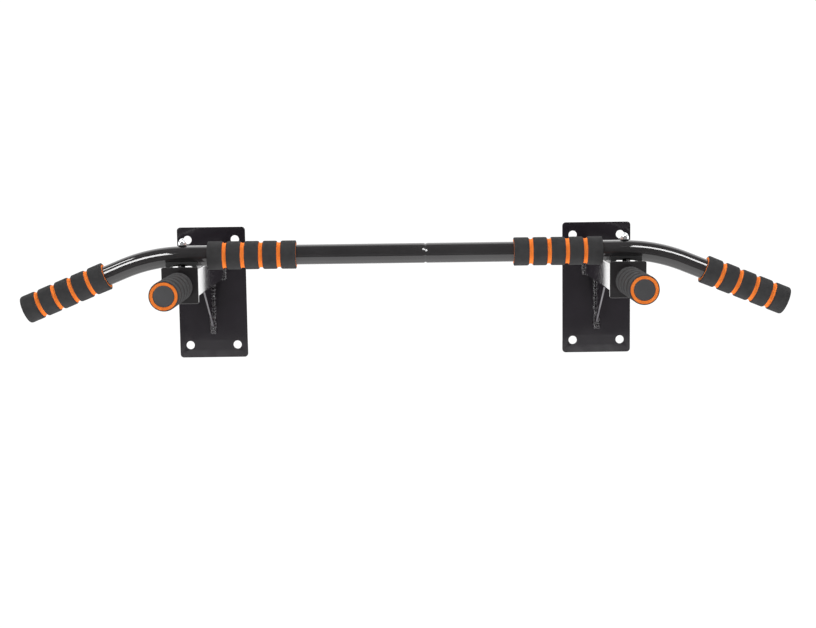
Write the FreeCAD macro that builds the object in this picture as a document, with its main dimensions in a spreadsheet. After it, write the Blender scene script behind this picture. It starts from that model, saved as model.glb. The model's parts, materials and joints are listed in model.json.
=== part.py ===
import FreeCAD, Part
import os

import Sketcher

# Wall-mounted pull up bar. Millimetres, +Z up, +X to the right, +Y into the wall.
# Origin: on the wall plane, midway between the brackets, at the height of the plates' centres.

DRIVING = {
    "bracket_spacing": 610,  # between the brackets' middle planes
    "plate_width": 108,
    "plate_height": 208,
    "plate_thick": 4,
    "plate_corner": 5.5,
    "hole_pitch_wide": 75,
    "hole_pitch_high": 168,
    "hole_radius": 6.5,
    "edge_break": 0.6,
    "arm_width": 40,
    "arm_wall": 2,
    "arm_corner": 2.5,
    "arm_top": 63.5,
    "reach": 340,  # wall plane to the front of the end plate
    "end_width": 50,
    "end_thick": 4,
    "end_corner": 2,
    "gusset_long": 112,
    "gusset_drop": 78,
    "gusset_toe": 4,
    "gusset_thick": 3,
    "weld_leg": 4,
    "weld_lip": 0.5,
    "front_weld_leg": 3,
    "tube_radius": 14,
    "tube_wall": 1.8,
    "bar_depth": 305,  # wall plane to the bar's axis
    "bar_gap": 4,  # between the arm and the bar above it
    "seam_offset": 30,  # the joint of the two halves, to the right of the middle
    "seam_chamfer": 0.9,
    "bend_corner": 347.3,  # where one half's two straight lines would meet
    "bend_radius": 224,
    "bend_angle": 22.2,
    "left_end_grip_start": 69.2,  # from the bend's corner, along the bent end
    "right_end_grip_start": 73,
    "left_bar_grip_start": 148.3,  # from the middle of the object
    "right_bar_grip_start": 151.6,
    "grip_length": 122,
    "grip_radius": 19.6,
    "core_radius": 18.1,
    "groove_floor": 17,  # the core's radius at the bottom of a groove
    "groove_slope": 0.8,
    "groove_width": 5.4,
    "groove_pitch": 24.9,
    "first_groove": 20.9,
    "groove_count": 4,
    "plug_flange": 2.5,
    "plug_radius": 13.7,
    "plug_depth": 14,
    "handle_weld_long": 3.5,
    "collar_radius": 17.5,
    "collar_end": 17,
    "collar_chamfer": 1,
    "collar_groove_depth": 1.2,
    "collar_groove_width": 3,
    "saddle_length": 43,
    "saddle_width": 35,
    "saddle_lip": 7,  # from the lips' tops up to the bar's axis
    "saddle_corner": 2.5,
    "arch_half": 17.3,
    "arch_spring": 3.3,  # the height of the arch's upright sides
    "arch_rise": 8,
    "bolt_radius": 3,
    "bolt_hole_radius": 3.3,
    "hex_radius": 5.77,
    "head_thick": 4,
    "washer_radius": 6,
    "washer_thick": 1.2,
    "nut_height": 8.9,
    "nut_hex": 4.6,
    "nut_dome": 4.8,
    "nut_thread": 6.6,
    "spigot_radius": 12.1,
    "spigot_wall": 2,
    "spigot_entry": 30,  # how far past the middle the spigot reaches into the left half
    "spigot_end": 60,
}

doc = FreeCAD.newDocument("pull_up_bar")
sheet = doc.addObject("Spreadsheet::Sheet", "Size")
for row, (alias, value) in enumerate(DRIVING.items(), start=1):
    sheet.set(f"A{row}", alias)
    sheet.set(f"B{row}", str(value))
    sheet.setAlias(f"B{row}", alias)
doc.recompute()

VEC = FreeCAD.Vector
NO_TURN = FreeCAD.Rotation(VEC(0, 0, 1), 0)
HALF_TURN = FreeCAD.Rotation(VEC(0, 0, 1), 180)
ALONG_X = FreeCAD.Rotation(VEC(0, 1, 0), 90)
FORWARD = FreeCAD.Rotation(VEC(1, 0, 0), 90)  # turns a piece's +Z away from the wall

BRACKET = "Size.bracket_spacing / 2"
ARM_Z = "(Size.arm_top - Size.arm_width / 2)"
BAR_Y = "-Size.bar_depth"
BAR_Z = "(Size.arm_top + Size.bar_gap + Size.tube_radius)"
BORE = "(Size.tube_radius - Size.tube_wall)"
HANDLE_STOP = "(Size.collar_end + Size.grip_length)"
subparts = []


# Helpers

def worth(text):
    return float(sheet.evalExpression(text))


def end_stop(side):
    """Where the bent end stops, from the bend's corner."""
    return f"(Size.{side}_end_grip_start + Size.grip_length)"


def place(item, turn=NO_TURN, x="0", y="0", z="0"):
    item.Placement = FreeCAD.Placement(VEC(0, 0, 0), turn)
    for axis, text in (("x", x), ("y", y), ("z", z)):
        item.setExpression(f"Placement.Base.{axis}", text)
    return item


def finish(item, label, **where):
    item.Label = label
    subparts.append(place(item, **where))
    return item


def primitive(kind, name, turn=NO_TURN, x="0", y="0", z="0", **sizes):
    item = doc.addObject(f"Part::{kind}", name)
    for size, text in sizes.items():
        item.setExpression(size, text)
    return place(item, turn, x, y, z)


def joined(name, pieces):
    item = doc.addObject("Part::MultiFuse", name)
    item.Shapes = pieces
    return item


def cut(name, base, tool):
    item = doc.addObject("Part::Cut", name)
    item.Base = base
    item.Tool = tool
    return item


def new_body(name):
    return doc.addObject("PartDesign::Body", name)


def new_sketch(body, role, offset=None):
    sketch = body.newObject("Sketcher::SketchObject", "Outline")
    plane = next(item for item in body.Origin.OriginFeatures if item.Role == role)
    sketch.AttachmentSupport = (plane, [""])
    sketch.MapMode = "FlatFace"
    if offset:
        sketch.setExpression("AttachmentOffset.Base.z", offset)
    return sketch


def hold(sketch, kind, text, *where):
    """One driving constraint whose value follows the sheet."""
    index = sketch.addConstraint(Sketcher.Constraint(kind, *where, worth(text)))
    sketch.setExpression(f"Constraints[{index}]", text)


def outline(sketch, corners):
    """A closed outline through corners, each held by its two distances from the origin."""
    points = [VEC(worth(x), worth(y), 0) for x, y in corners]
    first = sketch.GeometryCount
    for number, point in enumerate(points):
        sketch.addGeometry(Part.LineSegment(point, points[(number + 1) % len(points)]))
    for number, (x, y) in enumerate(corners):
        following = first + (number + 1) % len(points)
        sketch.addConstraint(Sketcher.Constraint("Coincident", first + number, 2, following, 1))
        hold(sketch, "DistanceX", x, -1, 1, first + number, 1)
        hold(sketch, "DistanceY", y, -1, 1, first + number, 1)


def rectangle(sketch, x, y, width, height):
    """A rectangle of this width and height whose middle is at x, y."""
    left, right = f"{x} - {width} / 2", f"{x} + {width} / 2"
    low, high = f"{y} - {height} / 2", f"{y} + {height} / 2"
    outline(sketch, ((left, low), (right, low), (right, high), (left, high)))


def circle(sketch, x, y, radius):
    centre = VEC(worth(x), worth(y), 0)
    index = sketch.addGeometry(Part.Circle(centre, VEC(0, 0, 1), worth(radius)))
    hold(sketch, "DistanceX", x, -1, 1, index, 3)
    hold(sketch, "DistanceY", y, -1, 1, index, 3)
    hold(sketch, "Radius", radius, index)


def feature(body, kind, sketch, **rules):
    item = body.newObject(f"PartDesign::{kind}", kind)
    item.Profile = sketch
    for name, text in rules.items():
        item.setExpression(name, text)
    return item


def pocket_through(body, sketch):
    """Cuts the sketch through the whole body, both ways, and checks that it cut."""
    doc.recompute()
    before = body.Shape.Volume
    item = body.newObject("PartDesign::Pocket", "Pocket")
    item.Profile = sketch
    item.Type = "ThroughAll"
    item.SideType = "Symmetric"
    doc.recompute()
    assert body.Shape.Volume < before, f"the pocket in {body.Name} cut nothing"
    return item


def dress(body, kind, chosen, rule_name, text):
    """A fillet or chamfer on the edges of the body's tip that chosen accepts."""
    doc.recompute()
    tip = body.Tip
    names = [f"Edge{n}" for n, edge in enumerate(tip.Shape.Edges, start=1) if chosen(edge)]
    item = body.newObject(f"PartDesign::{kind}", kind)
    item.Base = (tip, names)
    item.setExpression(rule_name, text)
    return item


def runs_along(axis, edge):
    spans = (edge.BoundBox.XLength, edge.BoundBox.YLength, edge.BoundBox.ZLength)
    return all((span > 0.01) == (number == axis) for number, span in enumerate(spans))


def lies_at(axis, value, edge):
    low = (edge.BoundBox.XMin, edge.BoundBox.YMin, edge.BoundBox.ZMin)[axis]
    high = (edge.BoundBox.XMax, edge.BoundBox.YMax, edge.BoundBox.ZMax)[axis]
    return abs(low - value) < 0.01 and abs(high - value) < 0.01


def revolve(body, sketch):
    item = body.newObject("PartDesign::Revolution", "Revolution")
    item.Profile = sketch
    item.ReferenceAxis = (sketch, ["V_Axis"])
    item.Angle = 360


def turned(name, corners):
    """A round piece about its own Z axis; each corner is a radius and a height."""
    body = new_body(name)
    sketch = new_sketch(body, "XZ_Plane")
    outline(sketch, corners)
    revolve(body, sketch)
    return body


def ring(name, inner, outer, low, high):
    return turned(name, ((inner, low), (outer, low), (outer, high), (inner, high)))


# One bracket

def wall_plate(label, x):
    body = new_body("WallPlate")
    sketch = new_sketch(body, "XZ_Plane")
    rectangle(sketch, "0", "0", "Size.plate_width", "Size.plate_height")
    feature(body, "Pad", sketch, Length="Size.plate_thick")
    dress(body, "Fillet", lambda edge: runs_along(1, edge), "Radius", "Size.plate_corner")
    front = -worth("Size.plate_thick")
    dress(body, "Fillet", lambda edge: lies_at(1, front, edge), "Radius", "Size.edge_break")
    holes = new_sketch(body, "XZ_Plane")
    for across in ("-", ""):
        for up in ("-", ""):
            x_rule = f"{across}Size.hole_pitch_wide / 2"
            circle(holes, x_rule, f"{up}Size.hole_pitch_high / 2", "Size.hole_radius")
    pocket_through(body, holes)
    finish(body, label, x=x)


def arm_tube(label, x):
    body = new_body("ArmTube")
    sketch = new_sketch(body, "XZ_Plane", "Size.plate_thick")
    rectangle(sketch, "0", "0", "Size.arm_width", "Size.arm_width")
    feature(body, "Pad", sketch, Length="Size.reach - Size.end_thick - Size.plate_thick")
    dress(body, "Fillet", lambda edge: runs_along(1, edge), "Radius", "Size.arm_corner")
    bore = new_sketch(body, "XZ_Plane")
    width = "(Size.arm_width - 2 * Size.arm_wall)"
    rectangle(bore, "0", "0", width, width)
    pocket_through(body, bore)
    bolt_hole = new_sketch(body, "XY_Plane")
    circle(bolt_hole, "0", BAR_Y, "Size.bolt_hole_radius")
    pocket_through(body, bolt_hole)
    finish(body, label, x=x, z=ARM_Z)


def end_plate(label, x):
    body = new_body("EndPlate")
    sketch = new_sketch(body, "XZ_Plane", "Size.reach - Size.end_thick")
    rectangle(sketch, "0", "0", "Size.end_width", "Size.end_width")
    feature(body, "Pad", sketch, Length="Size.end_thick")
    dress(body, "Fillet", lambda edge: runs_along(1, edge), "Radius", "Size.end_corner")
    front = -worth("Size.reach")
    dress(body, "Chamfer", lambda edge: lies_at(1, front, edge), "Size", "Size.edge_break")
    finish(body, label, x=x, z=ARM_Z)


def gusset(label, x):
    """The web: level along the arm, upright along the plate, with two blunt toes."""
    body = new_body("Gusset")
    sketch = new_sketch(body, "YZ_Plane")
    back = "-Size.plate_thick"
    tip = "-Size.plate_thick - Size.gusset_long"
    corners = (
        (back, "0"),
        (back, "-Size.gusset_drop"),
        ("-Size.plate_thick - Size.gusset_toe", "-Size.gusset_drop"),
        (tip, "-Size.gusset_toe"),
        (tip, "0"),
    )
    outline(sketch, corners)
    pad = feature(body, "Pad", sketch, Length="Size.gusset_thick")
    pad.SideType = "Symmetric"
    finish(body, label, x=x, z="Size.arm_top - Size.arm_width")


def weld_frame(name, wide, leg, wall_y):
    """A weld all round the arm: wide at wall_y, and as wide as its lip where it ends."""
    wedge = doc.addObject("Part::Wedge", f"{name}Bead")
    narrow = "(Size.arm_width / 2 + Size.weld_lip)"
    for low, high in (("Xmin", "Xmax"), ("Zmin", "Zmax")):
        wedge.setExpression(low, f"-{narrow}")
        wedge.setExpression(high, narrow)
    for low, high in (("X2min", "X2max"), ("Z2min", "Z2max")):
        wedge.setExpression(low, f"-{wide}")
        wedge.setExpression(high, wide)
    wedge.setExpression("Ymin", "0")
    wedge.setExpression("Ymax", leg)
    place(wedge, y=wall_y)
    return wedge


def plate_weld(label, x):
    wide = "(Size.arm_width / 2 + Size.weld_leg)"
    wedge = weld_frame("PlateWeld", wide, "Size.weld_leg", "-Size.plate_thick - Size.weld_leg")
    size = {"Length": "Size.arm_width", "Height": "Size.arm_width", "Width": "Size.reach"}
    half = "-Size.arm_width / 2"
    arm = primitive("Box", "ArmSpace", x=half, y="-Size.reach", z=half, **size)
    web = primitive(
        "Box",
        "WebSpace",
        x="-Size.gusset_thick / 2",
        y="-Size.reach",
        z="-Size.arm_width",
        Length="Size.gusset_thick",
        Width="Size.reach",
        Height="Size.arm_width",
    )
    finish(cut("PlateWeld", wedge, joined("WeldSpace", [arm, web])), label, x=x, z=ARM_Z)


def front_weld(label, x):
    wide = "(Size.arm_width / 2 + Size.front_weld_leg)"
    wedge = weld_frame("FrontWeld", wide, "Size.front_weld_leg", "0")
    half = "-Size.arm_width / 2"
    size = {"Length": "Size.arm_width", "Height": "Size.arm_width", "Width": "Size.reach"}
    arm = primitive("Box", "ArmSpace", x=half, y="-Size.arm_width", z=half, **size)
    front = "-Size.reach + Size.end_thick"
    bead = cut("FrontWeld", wedge, arm)
    finish(bead, label, turn=HALF_TURN, x=x, y=front + " + Size.front_weld_leg", z=ARM_Z)


def gusset_welds(label, x):
    """Quarter-round beads on both sides of the web, down the plate and along the arm."""
    beads = []
    for side, roll_angle in ((1, 270), (-1, 180)):
        roll = FreeCAD.Rotation(VEC(0, 0, 1), roll_angle)
        edge = f"{side} * Size.gusset_thick / 2"
        down = primitive(
            "Cylinder",
            "DownBead",
            turn=roll,
            x=edge,
            y="-Size.plate_thick",
            z="-Size.gusset_drop",
            Radius="Size.weld_leg",
            Height="Size.gusset_drop - Size.weld_leg",
            Angle="90",
        )
        along = primitive(
            "Cylinder",
            "AlongBead",
            turn=FORWARD.multiply(roll),
            x=edge,
            y="-Size.plate_thick - Size.weld_leg",
            Radius="Size.weld_leg",
            Height="Size.gusset_long - Size.weld_leg",
            Angle="90",
        )
        beads += [down, along]
    finish(joined("GussetWelds", beads), label, x=x, z="Size.arm_top - Size.arm_width")


# The forward handle; each piece's own +Z points away from the wall

def handle(side, x):
    where = {"turn": FORWARD, "x": x, "y": "-Size.reach", "z": ARM_Z}
    stop = f"{HANDLE_STOP} - Size.plug_flange"
    tube = ring("HandleTube", BORE, "Size.tube_radius", "0", stop)
    finish(tube, f"{side}_handle_tube", **where)
    weld_corners = (
        ("Size.tube_radius", "0"),
        ("Size.collar_radius", "0"),
        ("Size.tube_radius + Size.weld_lip", "Size.handle_weld_long"),
        ("Size.tube_radius", "Size.handle_weld_long"),
    )
    finish(turned("HandleWeld", weld_corners), f"{side}_handle_weld", **where)
    finish(collar(), f"{side}_handle_collar", **where)
    grip(side, "handle", "Size.collar_end", where)
    finish(plug("HandlePlug", HANDLE_STOP), f"{side}_handle_plug", **where)


def collar():
    low, high = "Size.handle_weld_long", "Size.collar_end"
    middle = "(Size.handle_weld_long + Size.collar_end) / 2"
    rim = "Size.collar_radius"
    bevel = "Size.collar_chamfer"
    corners = (
        ("Size.tube_radius", low),
        (f"{rim} - {bevel}", low),
        (rim, f"{low} + {bevel}"),
        (rim, f"{middle} - Size.collar_groove_width / 2"),
        (f"{rim} - Size.collar_groove_depth", middle),
        (rim, f"{middle} + Size.collar_groove_width / 2"),
        (rim, f"{high} - {bevel}"),
        (f"{rim} - {bevel}", high),
        ("Size.tube_radius", high),
    )
    return turned("HandleCollar", corners)


def plug(name, stop):
    """A tube's end plug: its flange ends at stop, and its body fills the bore behind it."""
    seat = f"{stop} - Size.plug_flange"
    corners = (
        ("0", f"{seat} - Size.plug_depth"),
        (BORE, f"{seat} - Size.plug_depth"),
        (BORE, seat),
        ("Size.plug_radius", seat),
        ("Size.plug_radius", stop),
        ("0", stop),
    )
    return turned(name, corners)


def grip(side, kind, start, where):
    """A foam grip on a tube: a grooved core, and a skin in bands with the core bare between."""
    stop = f"{start} + Size.grip_length"
    inner, outer = "Size.core_radius", "Size.grip_radius"
    core_corners = [("Size.tube_radius", start), (inner, start)]
    band_corners = []
    low = start
    for number in range(int(worth("Size.groove_count"))):
        groove = f"{start} + Size.first_groove + {number} * Size.groove_pitch"
        groove_end = f"{groove} + Size.groove_width"
        core_corners += [
            (inner, groove),
            ("Size.groove_floor", f"{groove} + Size.groove_slope"),
            ("Size.groove_floor", f"{groove_end} - Size.groove_slope"),
            (inner, groove_end),
        ]
        band_corners.append(((inner, low), (outer, low), (outer, groove), (inner, groove)))
        low = groove_end
    core_corners += [(inner, stop), ("Size.tube_radius", stop)]
    band_corners.append(((inner, low), (outer, low), (outer, stop), (inner, stop)))
    finish(turned("GripCore", core_corners), f"{side}_{kind}_grip_core", **where)
    skin = new_body("GripSkin")
    skin.AllowCompound = True
    sketch = new_sketch(skin, "XZ_Plane")
    for corners in band_corners:
        outline(sketch, corners)
    revolve(skin, sketch)
    doc.recompute()
    assert len(skin.Shape.Solids) == len(band_corners), "a band of the grip is missing"
    finish(skin, f"{side}_{kind}_grip_skin", **where)


# The clamp that holds the bar on an arm

def arch_space(body, foot):
    """The hollow under a saddle: upright sides from the foot with one arc over them."""
    sketch = new_sketch(body, "XZ_Plane")
    left, right = f"({BRACKET} - Size.arch_half)", f"({BRACKET} + Size.arch_half)"
    spring = f"({foot} + Size.arch_spring)"
    stops = ((left, spring), (left, foot), (right, foot), (right, spring))
    points = [VEC(worth(x), worth(y), 0) for x, y in stops]
    for start, end in zip(points, points[1:]):
        sketch.addGeometry(Part.LineSegment(start, end))
    crown = VEC(worth(BRACKET), worth(f"{foot} + Size.arch_rise"), 0)
    sketch.addGeometry(Part.Arc(points[3], crown, points[0]))
    for first, second in (((0, 2), (1, 1)), ((1, 2), (2, 1)), ((2, 2), (3, 1)), ((3, 2), (0, 1))):
        sketch.addConstraint(Sketcher.Constraint("Coincident", *first, *second))
    for (x, y), point in zip(stops, ((0, 1), (0, 2), (1, 2), (2, 2))):
        hold(sketch, "DistanceX", x, -1, 1, *point)
        hold(sketch, "DistanceY", y, -1, 1, *point)
    rise = "(Size.arch_rise - Size.arch_spring)"
    hold(sketch, "Radius", f"(Size.arch_half ^ 2 + {rise} ^ 2) / (2 * {rise})", 3)
    return sketch


def saddle(side, turn):
    """A block hollowed for the bar from above and by an arch from below; the bolt passes
    through the gap where the two hollows meet."""
    body = new_body("Saddle")
    sketch = new_sketch(body, "XZ_Plane")
    foot = "(-Size.tube_radius - Size.bar_gap)"
    lip = "-Size.saddle_lip"
    left = f"{BRACKET} - Size.saddle_length / 2"
    right = f"{BRACKET} + Size.saddle_length / 2"
    outline(sketch, ((left, foot), (right, foot), (right, lip), (left, lip)))
    pad = feature(body, "Pad", sketch, Length="Size.saddle_width")
    pad.SideType = "Symmetric"
    dress(body, "Fillet", lambda edge: runs_along(1, edge), "Radius", "Size.saddle_corner")
    pocket_through(body, arch_space(body, foot))
    before = body.Shape.Volume
    bar_pipe(body, "SubtractivePipe", side, "Size.seam_offset", ("Size.tube_radius",))
    doc.recompute()
    assert body.Shape.Volume < before, "the bar's channel cut nothing"
    finish(body, f"{side}_saddle", turn=turn, y=BAR_Y, z=BAR_Z)


def clamp(side, x):
    where = {"x": x, "y": BAR_Y}
    under = "(Size.arm_top - Size.arm_width - Size.washer_thick)"
    crest = f"({BAR_Z} + Size.tube_radius)"
    nut_seat = f"({crest} + Size.washer_thick)"
    head = primitive(
        "Prism",
        "BoltHead",
        z=f"{under} - Size.head_thick",
        Polygon="6",
        Circumradius="Size.hex_radius",
        Height="Size.head_thick",
    )
    shank = primitive(
        "Cylinder",
        "BoltShank",
        z=f"{under} - Size.head_thick / 2",
        Radius="Size.bolt_radius",
        Height=f"{nut_seat} + Size.nut_thread - {under} + Size.head_thick / 2",
    )
    finish(joined("ClampBolt", [head, shank]), f"{side}_clamp_bolt", **where)
    washers = []
    for level in (under, crest):
        rim = primitive("Cylinder", "Rim", z=level, Radius="Size.washer_radius", Height="Size.washer_thick")
        bore = {"Radius": "Size.bolt_hole_radius", "Height": "Size.washer_thick"}
        hole = primitive("Cylinder", "Hole", z=level, **bore)
        washers.append(cut("Washer", rim, hole))
    pair = doc.addObject("Part::Compound", "Washers")
    pair.Links = washers
    finish(pair, f"{side}_clamp_washers", **where)
    finish(cap_nut(), f"{side}_cap_nut", z=nut_seat, **where)


def cap_nut():
    """A hexagon under a low dome, with a blind thread."""
    sizes = {"Polygon": "6", "Circumradius": "Size.hex_radius"}
    hexagon = primitive("Prism", "Hexagon", Height="Size.nut_hex", **sizes)
    centre = "Size.nut_height - Size.nut_dome"
    dome = primitive("Sphere", "Dome", z=centre, Radius="Size.nut_dome")
    thread = primitive("Cylinder", "Thread", z="-1", Radius="Size.bolt_radius", Height="Size.nut_thread + 1")
    below = primitive(
        "Box",
        "Below",
        x="-Size.nut_height",
        y="-Size.nut_height",
        z="-2 * Size.nut_height",
        Length="2 * Size.nut_height",
        Width="2 * Size.nut_height",
        Height="2 * Size.nut_height",
    )
    return cut("CapNut", joined("NutBlank", [hexagon, dome]), joined("NutSpace", [thread, below]))


# The bar; a left piece is a right one turned half round

def bar_pipe(body, kind, side, seam, radii):
    """Sweeps circles along one half of the bar: a straight run from the seam, one bend in
    the upright plane and a straight end."""
    setback = "Size.bend_radius * tan(Size.bend_angle / 2)"
    far = f"({end_stop(side)} - Size.plug_flange)"
    stops = (
        (seam, "0"),
        (f"Size.bend_corner - {setback}", "0"),
        (f"Size.bend_corner + {setback} * cos(Size.bend_angle)", f"-{setback} * sin(Size.bend_angle)"),
        (f"Size.bend_corner + {far} * cos(Size.bend_angle)", f"-{far} * sin(Size.bend_angle)"),
    )
    start, bend_start, bend_end, end = (VEC(worth(x), worth(y), 0) for x, y in stops)
    radius = worth("Size.bend_radius")
    half_angle = "(90 - Size.bend_angle / 2)"
    outward = VEC(worth(f"cos{half_angle}"), worth(f"sin{half_angle}"), 0)
    bend_middle = bend_start - VEC(0, radius, 0) + outward * radius
    path = new_sketch(body, "XZ_Plane")
    path.addGeometry(Part.LineSegment(start, bend_start))
    path.addGeometry(Part.Arc(bend_start, bend_middle, bend_end))
    path.addGeometry(Part.LineSegment(bend_end, end))
    for (x, y), point in zip(stops, ((0, 1), (0, 2), (2, 1), (2, 2))):
        hold(path, "DistanceX", x, -1, 1, *point)
        hold(path, "DistanceY", y, -1, 1, *point)
    profile = new_sketch(body, "YZ_Plane", seam)
    for radius_rule in radii:
        circle(profile, "0", "0", radius_rule)
    pipe = body.newObject(f"PartDesign::{kind}", kind)
    pipe.Profile = profile
    pipe.Spine = (path, ["Edge1", "Edge2", "Edge3"])


def bar_half(side, seam, turn):
    body = new_body("Bar")
    bar_pipe(body, "AdditivePipe", side, seam, ("Size.tube_radius", BORE))
    at_seam = worth(seam)
    rim = worth("Size.tube_radius")
    dress(
        body,
        "Chamfer",
        lambda edge: lies_at(0, at_seam, edge) and edge.BoundBox.ZLength > 2 * rim - 1,
        "Size",
        "Size.seam_chamfer",
    )
    bolt_hole = new_sketch(body, "XY_Plane")
    circle(bolt_hole, BRACKET, "0", "Size.bolt_hole_radius")
    pocket_through(body, bolt_hole)
    finish(body, f"{side}_bar", turn=turn, y=BAR_Y, z=BAR_Z)


def bar_pieces(side, sign, turn):
    seam = "Size.seam_offset" if sign > 0 else "-Size.seam_offset"
    bar_half(side, seam, turn)
    along = turn.multiply(ALONG_X)
    grip(side, "bar", f"Size.{side}_bar_grip_start", {"turn": along, "y": BAR_Y, "z": BAR_Z})
    down = turn.multiply(FreeCAD.Rotation(VEC(0, 1, 0), 90 + worth("Size.bend_angle")))
    corner = {"turn": down, "x": f"{sign} * Size.bend_corner", "y": BAR_Y, "z": BAR_Z}
    grip(side, "end", f"Size.{side}_end_grip_start", corner)
    finish(plug("BarEndPlug", end_stop(side)), f"{side}_bar_end_plug", **corner)


for side, sign, turn in (("left", -1, HALF_TURN), ("right", 1, NO_TURN)):
    x = f"{sign} * {BRACKET}"
    wall_plate(f"{side}_wall_plate", x)
    arm_tube(f"{side}_arm_tube", x)
    end_plate(f"{side}_end_plate", x)
    gusset(f"{side}_gusset", x)
    plate_weld(f"{side}_plate_weld", x)
    gusset_welds(f"{side}_gusset_welds", x)
    front_weld(f"{side}_front_weld", x)
    handle(side, x)
    saddle(side, turn)
    clamp(side, x)
    bar_pieces(side, sign, turn)

inner = "Size.spigot_radius - Size.spigot_wall"
spigot = ring("JointSpigot", inner, "Size.spigot_radius", "-Size.spigot_entry", "Size.spigot_end")
finish(spigot, "joint_spigot", turn=ALONG_X, y=BAR_Y, z=BAR_Z)

doc.recompute()
for item in doc.Objects:
    assert not {"Invalid", "Error"} & set(item.State), f"{item.Label} failed: {item.State}"
for item in subparts:
    assert not item.Shape.isNull() and item.Shape.isValid(), f"{item.Label} has no valid shape"

os.makedirs("parts", exist_ok=True)
for item in subparts:
    item.Shape.exportStep(f"parts/{item.Label}.step")
print(f"{len(subparts)} sub-parts written")
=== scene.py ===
import json
import math

import bmesh
import bpy
from mathutils import Matrix, Vector, noise


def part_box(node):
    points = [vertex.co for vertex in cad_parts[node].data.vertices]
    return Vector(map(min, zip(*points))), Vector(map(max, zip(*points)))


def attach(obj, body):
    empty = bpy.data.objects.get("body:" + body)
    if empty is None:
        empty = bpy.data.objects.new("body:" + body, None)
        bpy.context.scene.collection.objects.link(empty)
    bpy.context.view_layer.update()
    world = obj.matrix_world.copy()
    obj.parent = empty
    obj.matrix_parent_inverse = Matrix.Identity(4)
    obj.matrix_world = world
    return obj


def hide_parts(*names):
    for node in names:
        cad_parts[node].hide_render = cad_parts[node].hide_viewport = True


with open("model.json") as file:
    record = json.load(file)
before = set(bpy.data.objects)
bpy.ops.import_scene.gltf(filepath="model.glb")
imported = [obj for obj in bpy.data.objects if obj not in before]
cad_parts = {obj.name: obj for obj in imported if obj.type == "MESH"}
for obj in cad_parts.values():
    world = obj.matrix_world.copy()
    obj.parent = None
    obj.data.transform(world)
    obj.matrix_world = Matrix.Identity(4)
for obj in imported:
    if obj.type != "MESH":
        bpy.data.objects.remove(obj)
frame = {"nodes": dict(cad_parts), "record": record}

scene = bpy.context.scene
scene.view_settings.view_transform = "Standard"
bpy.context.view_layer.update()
mm = 0.001
sides = (("left", -1), ("right", 1))
mounts = {mount["name"]: mount for mount in frame["record"]["mounts"]}


# small helpers

def middle(node):
    low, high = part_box(node)
    return (low + high) / 2


def size(node):
    low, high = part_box(node)
    return high - low


def addObject(name, mesh, material):
    piece = bpy.data.objects.new(name, mesh)
    scene.collection.objects.link(piece)
    mesh.materials.clear()
    mesh.materials.append(material)
    return piece


def meshFrom(name, vertices, faces):
    mesh = bpy.data.meshes.new(name)
    mesh.from_pydata(vertices, [], faces)
    shape = bmesh.new()
    shape.from_mesh(mesh)
    bmesh.ops.remove_doubles(shape, verts=shape.verts, dist=1e-6)
    bmesh.ops.recalc_face_normals(shape, faces=shape.faces)
    shape.to_mesh(mesh)
    shape.free()
    return mesh


def smoothed(mesh, angle=35):
    mesh.shade_smooth()
    mesh.set_sharp_from_angle(angle=math.radians(angle))
    return mesh


def standFor(piece, slot, *nodes):
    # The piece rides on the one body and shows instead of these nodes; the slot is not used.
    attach(piece, "root")
    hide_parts(*nodes)
    return piece


def roundedOutline(corners, radius, steps=6):
    # A closed outline with every corner turned into an arc.
    points = []
    count = len(corners)
    for index, corner in enumerate(corners):
        corner = Vector(corner)
        before = (Vector(corners[index - 1]) - corner).normalized()
        after = (Vector(corners[(index + 1) % count]) - corner).normalized()
        half = before.angle(after) / 2
        reach = radius / math.tan(half)
        centre = corner + (before + after).normalized() * radius / math.sin(half)
        start = corner + before * reach - centre
        turn = math.pi - 2 * half
        if before.cross(after) > 0:
            turn = -turn
        for step in range(steps + 1):
            swing = Matrix.Rotation(turn * step / steps, 2)
            points.append(centre + swing @ start)
    return points


def circleOutline(centre, radius, steps=48):
    turns = [2 * math.pi * step / steps for step in range(steps)]
    return [Vector((centre[0] + radius * math.cos(a), centre[1] + radius * math.sin(a))) for a in turns]


def slab(name, outlines, thickness, bevel, place):
    # A flat piece: its outlines filled, given a thickness along local Z and a rounded edge.
    curve = bpy.data.curves.new(name, "CURVE")
    curve.dimensions = "2D"
    curve.fill_mode = "BOTH"
    curve.extrude = thickness / 2 - bevel
    curve.bevel_depth = bevel
    curve.bevel_resolution = 3
    curve.offset = -bevel
    for outline in outlines:
        spline = curve.splines.new("POLY")
        spline.points.add(len(outline) - 1)
        for point, where in zip(spline.points, outline):
            point.co = (where[0], where[1], 0, 1)
        spline.use_cyclic_u = True
    drawn = bpy.data.objects.new(name, curve)
    scene.collection.objects.link(drawn)
    bpy.context.view_layer.update()
    flat = bpy.data.meshes.new_from_object(drawn)
    bpy.data.objects.remove(drawn)
    flat.transform(place)
    shape = bmesh.new()
    shape.from_mesh(flat)
    bmesh.ops.remove_doubles(shape, verts=shape.verts, dist=2e-6)
    bmesh.ops.recalc_face_normals(shape, faces=shape.faces)
    shape.to_mesh(flat)
    shape.free()
    return smoothed(flat, 50)


def evenShade(piece):
    # Keeps the wide faces flat beside their rounded edges.
    modifier = piece.modifiers.new("evenShade", "WEIGHTED_NORMAL")
    modifier.weight = 100
    modifier.keep_sharp = True


def facing(direction, origin):
    # A place whose local Z runs along direction from origin.
    turn = Vector(direction).to_track_quat("Z", "Y").to_matrix().to_4x4()
    return Matrix.Translation(origin) @ turn


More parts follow.
